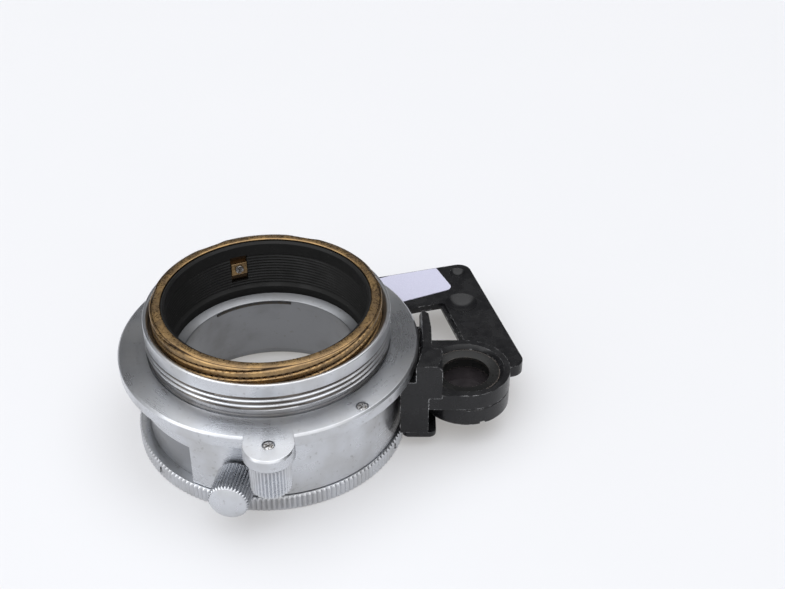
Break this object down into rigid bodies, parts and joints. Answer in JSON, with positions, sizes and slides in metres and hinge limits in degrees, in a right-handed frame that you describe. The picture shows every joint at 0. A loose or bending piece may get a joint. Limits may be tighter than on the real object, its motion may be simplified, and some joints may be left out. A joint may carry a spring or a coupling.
{
  "type": "close-focusing lens adapter",
  "caption": "Close-focusing adapter for a screw-mount camera: flanged brass helicoid, turning sleeve with knob, and side bracket with rangefinder wedge and finder mask.",
  "frame": {"origin": "lens axis at the camera-side face of the flange", "axes": "+Z along the lens axis towards the camera body; +X towards the side bracket with the optical unit; +Y completes a right-handed frame"},
  "size_m": [0.0657, 0.0632, 0.0252],
  "materials": {
    "satin_chrome": "satin chrome plating, fine turned grain",
    "spring_steel": "plain spring steel",
    "screw_steel": "turned steel with a worn slot",
    "black_paint": "semi-gloss black paint, bright chips on its edges",
    "black_screw": "blackened steel",
    "black_anodised": "matt black",
    "optical_glass": "coated glass",
    "label_paper": "blank matt paper label",
    "brass": "patinated turned brass",
    "spring_brass": "darkened spring brass"
  },
  "bodies": {
    "mount": {"helicoid_body": "satin_chrome", "mount_flange": "satin_chrome", "sleeve_snap_ring": "spring_steel", "stop_pin": "spring_steel", "fixed_grip": "satin_chrome", "grip_screw": "screw_steel", "flange_screw": "screw_steel", "optics_bracket": "black_paint", "bracket_foot": "black_paint", "foot_screws": "black_screw", "bracket_screws": "black_screw", "cell_tube": "black_anodised", "wedge_prism": "optical_glass", "prism_ring": "black_anodised", "mask_plate": "black_paint", "blank_label": "label_paper"},
    "focus_ring": {"focus_sleeve": "satin_chrome", "focus_knob": "satin_chrome", "knob_stud": "screw_steel"},
    "lens_carrier": {"lens_seat": "satin_chrome", "lens_spring": "spring_brass", "baffle_tube": "black_anodised", "knurled_ring": "satin_chrome", "ring_set_screws": "screw_steel"},
    "cam_barrel": {"cam_barrel": "brass", "drive_key": "brass", "drive_key_screw": "screw_steel"}
  },
  "joints": [
    {"name": "focus_turn", "type": "hinge", "parent": "mount", "child": "focus_ring", "pos_m": [0, 0, -0.008], "axis": [0, 0, -1], "range_deg": [0, 125]},
    {"name": "lens_travel", "type": "slide", "parent": "focus_ring", "child": "lens_carrier", "axis": [0, 0, -1], "range_m": [0, 0.00434]},
    {"name": "cam_travel", "type": "slide", "parent": "focus_ring", "child": "cam_barrel", "axis": [0, 0, -1], "range_m": [0, 0.00334]}
  ],
  "couplings": [
    {"joint": "lens_travel", "follows": "focus_turn", "m_per_rad": 0.0019894},
    {"joint": "cam_travel", "follows": "focus_turn", "m_per_rad": 0.0015279}
  ]
}
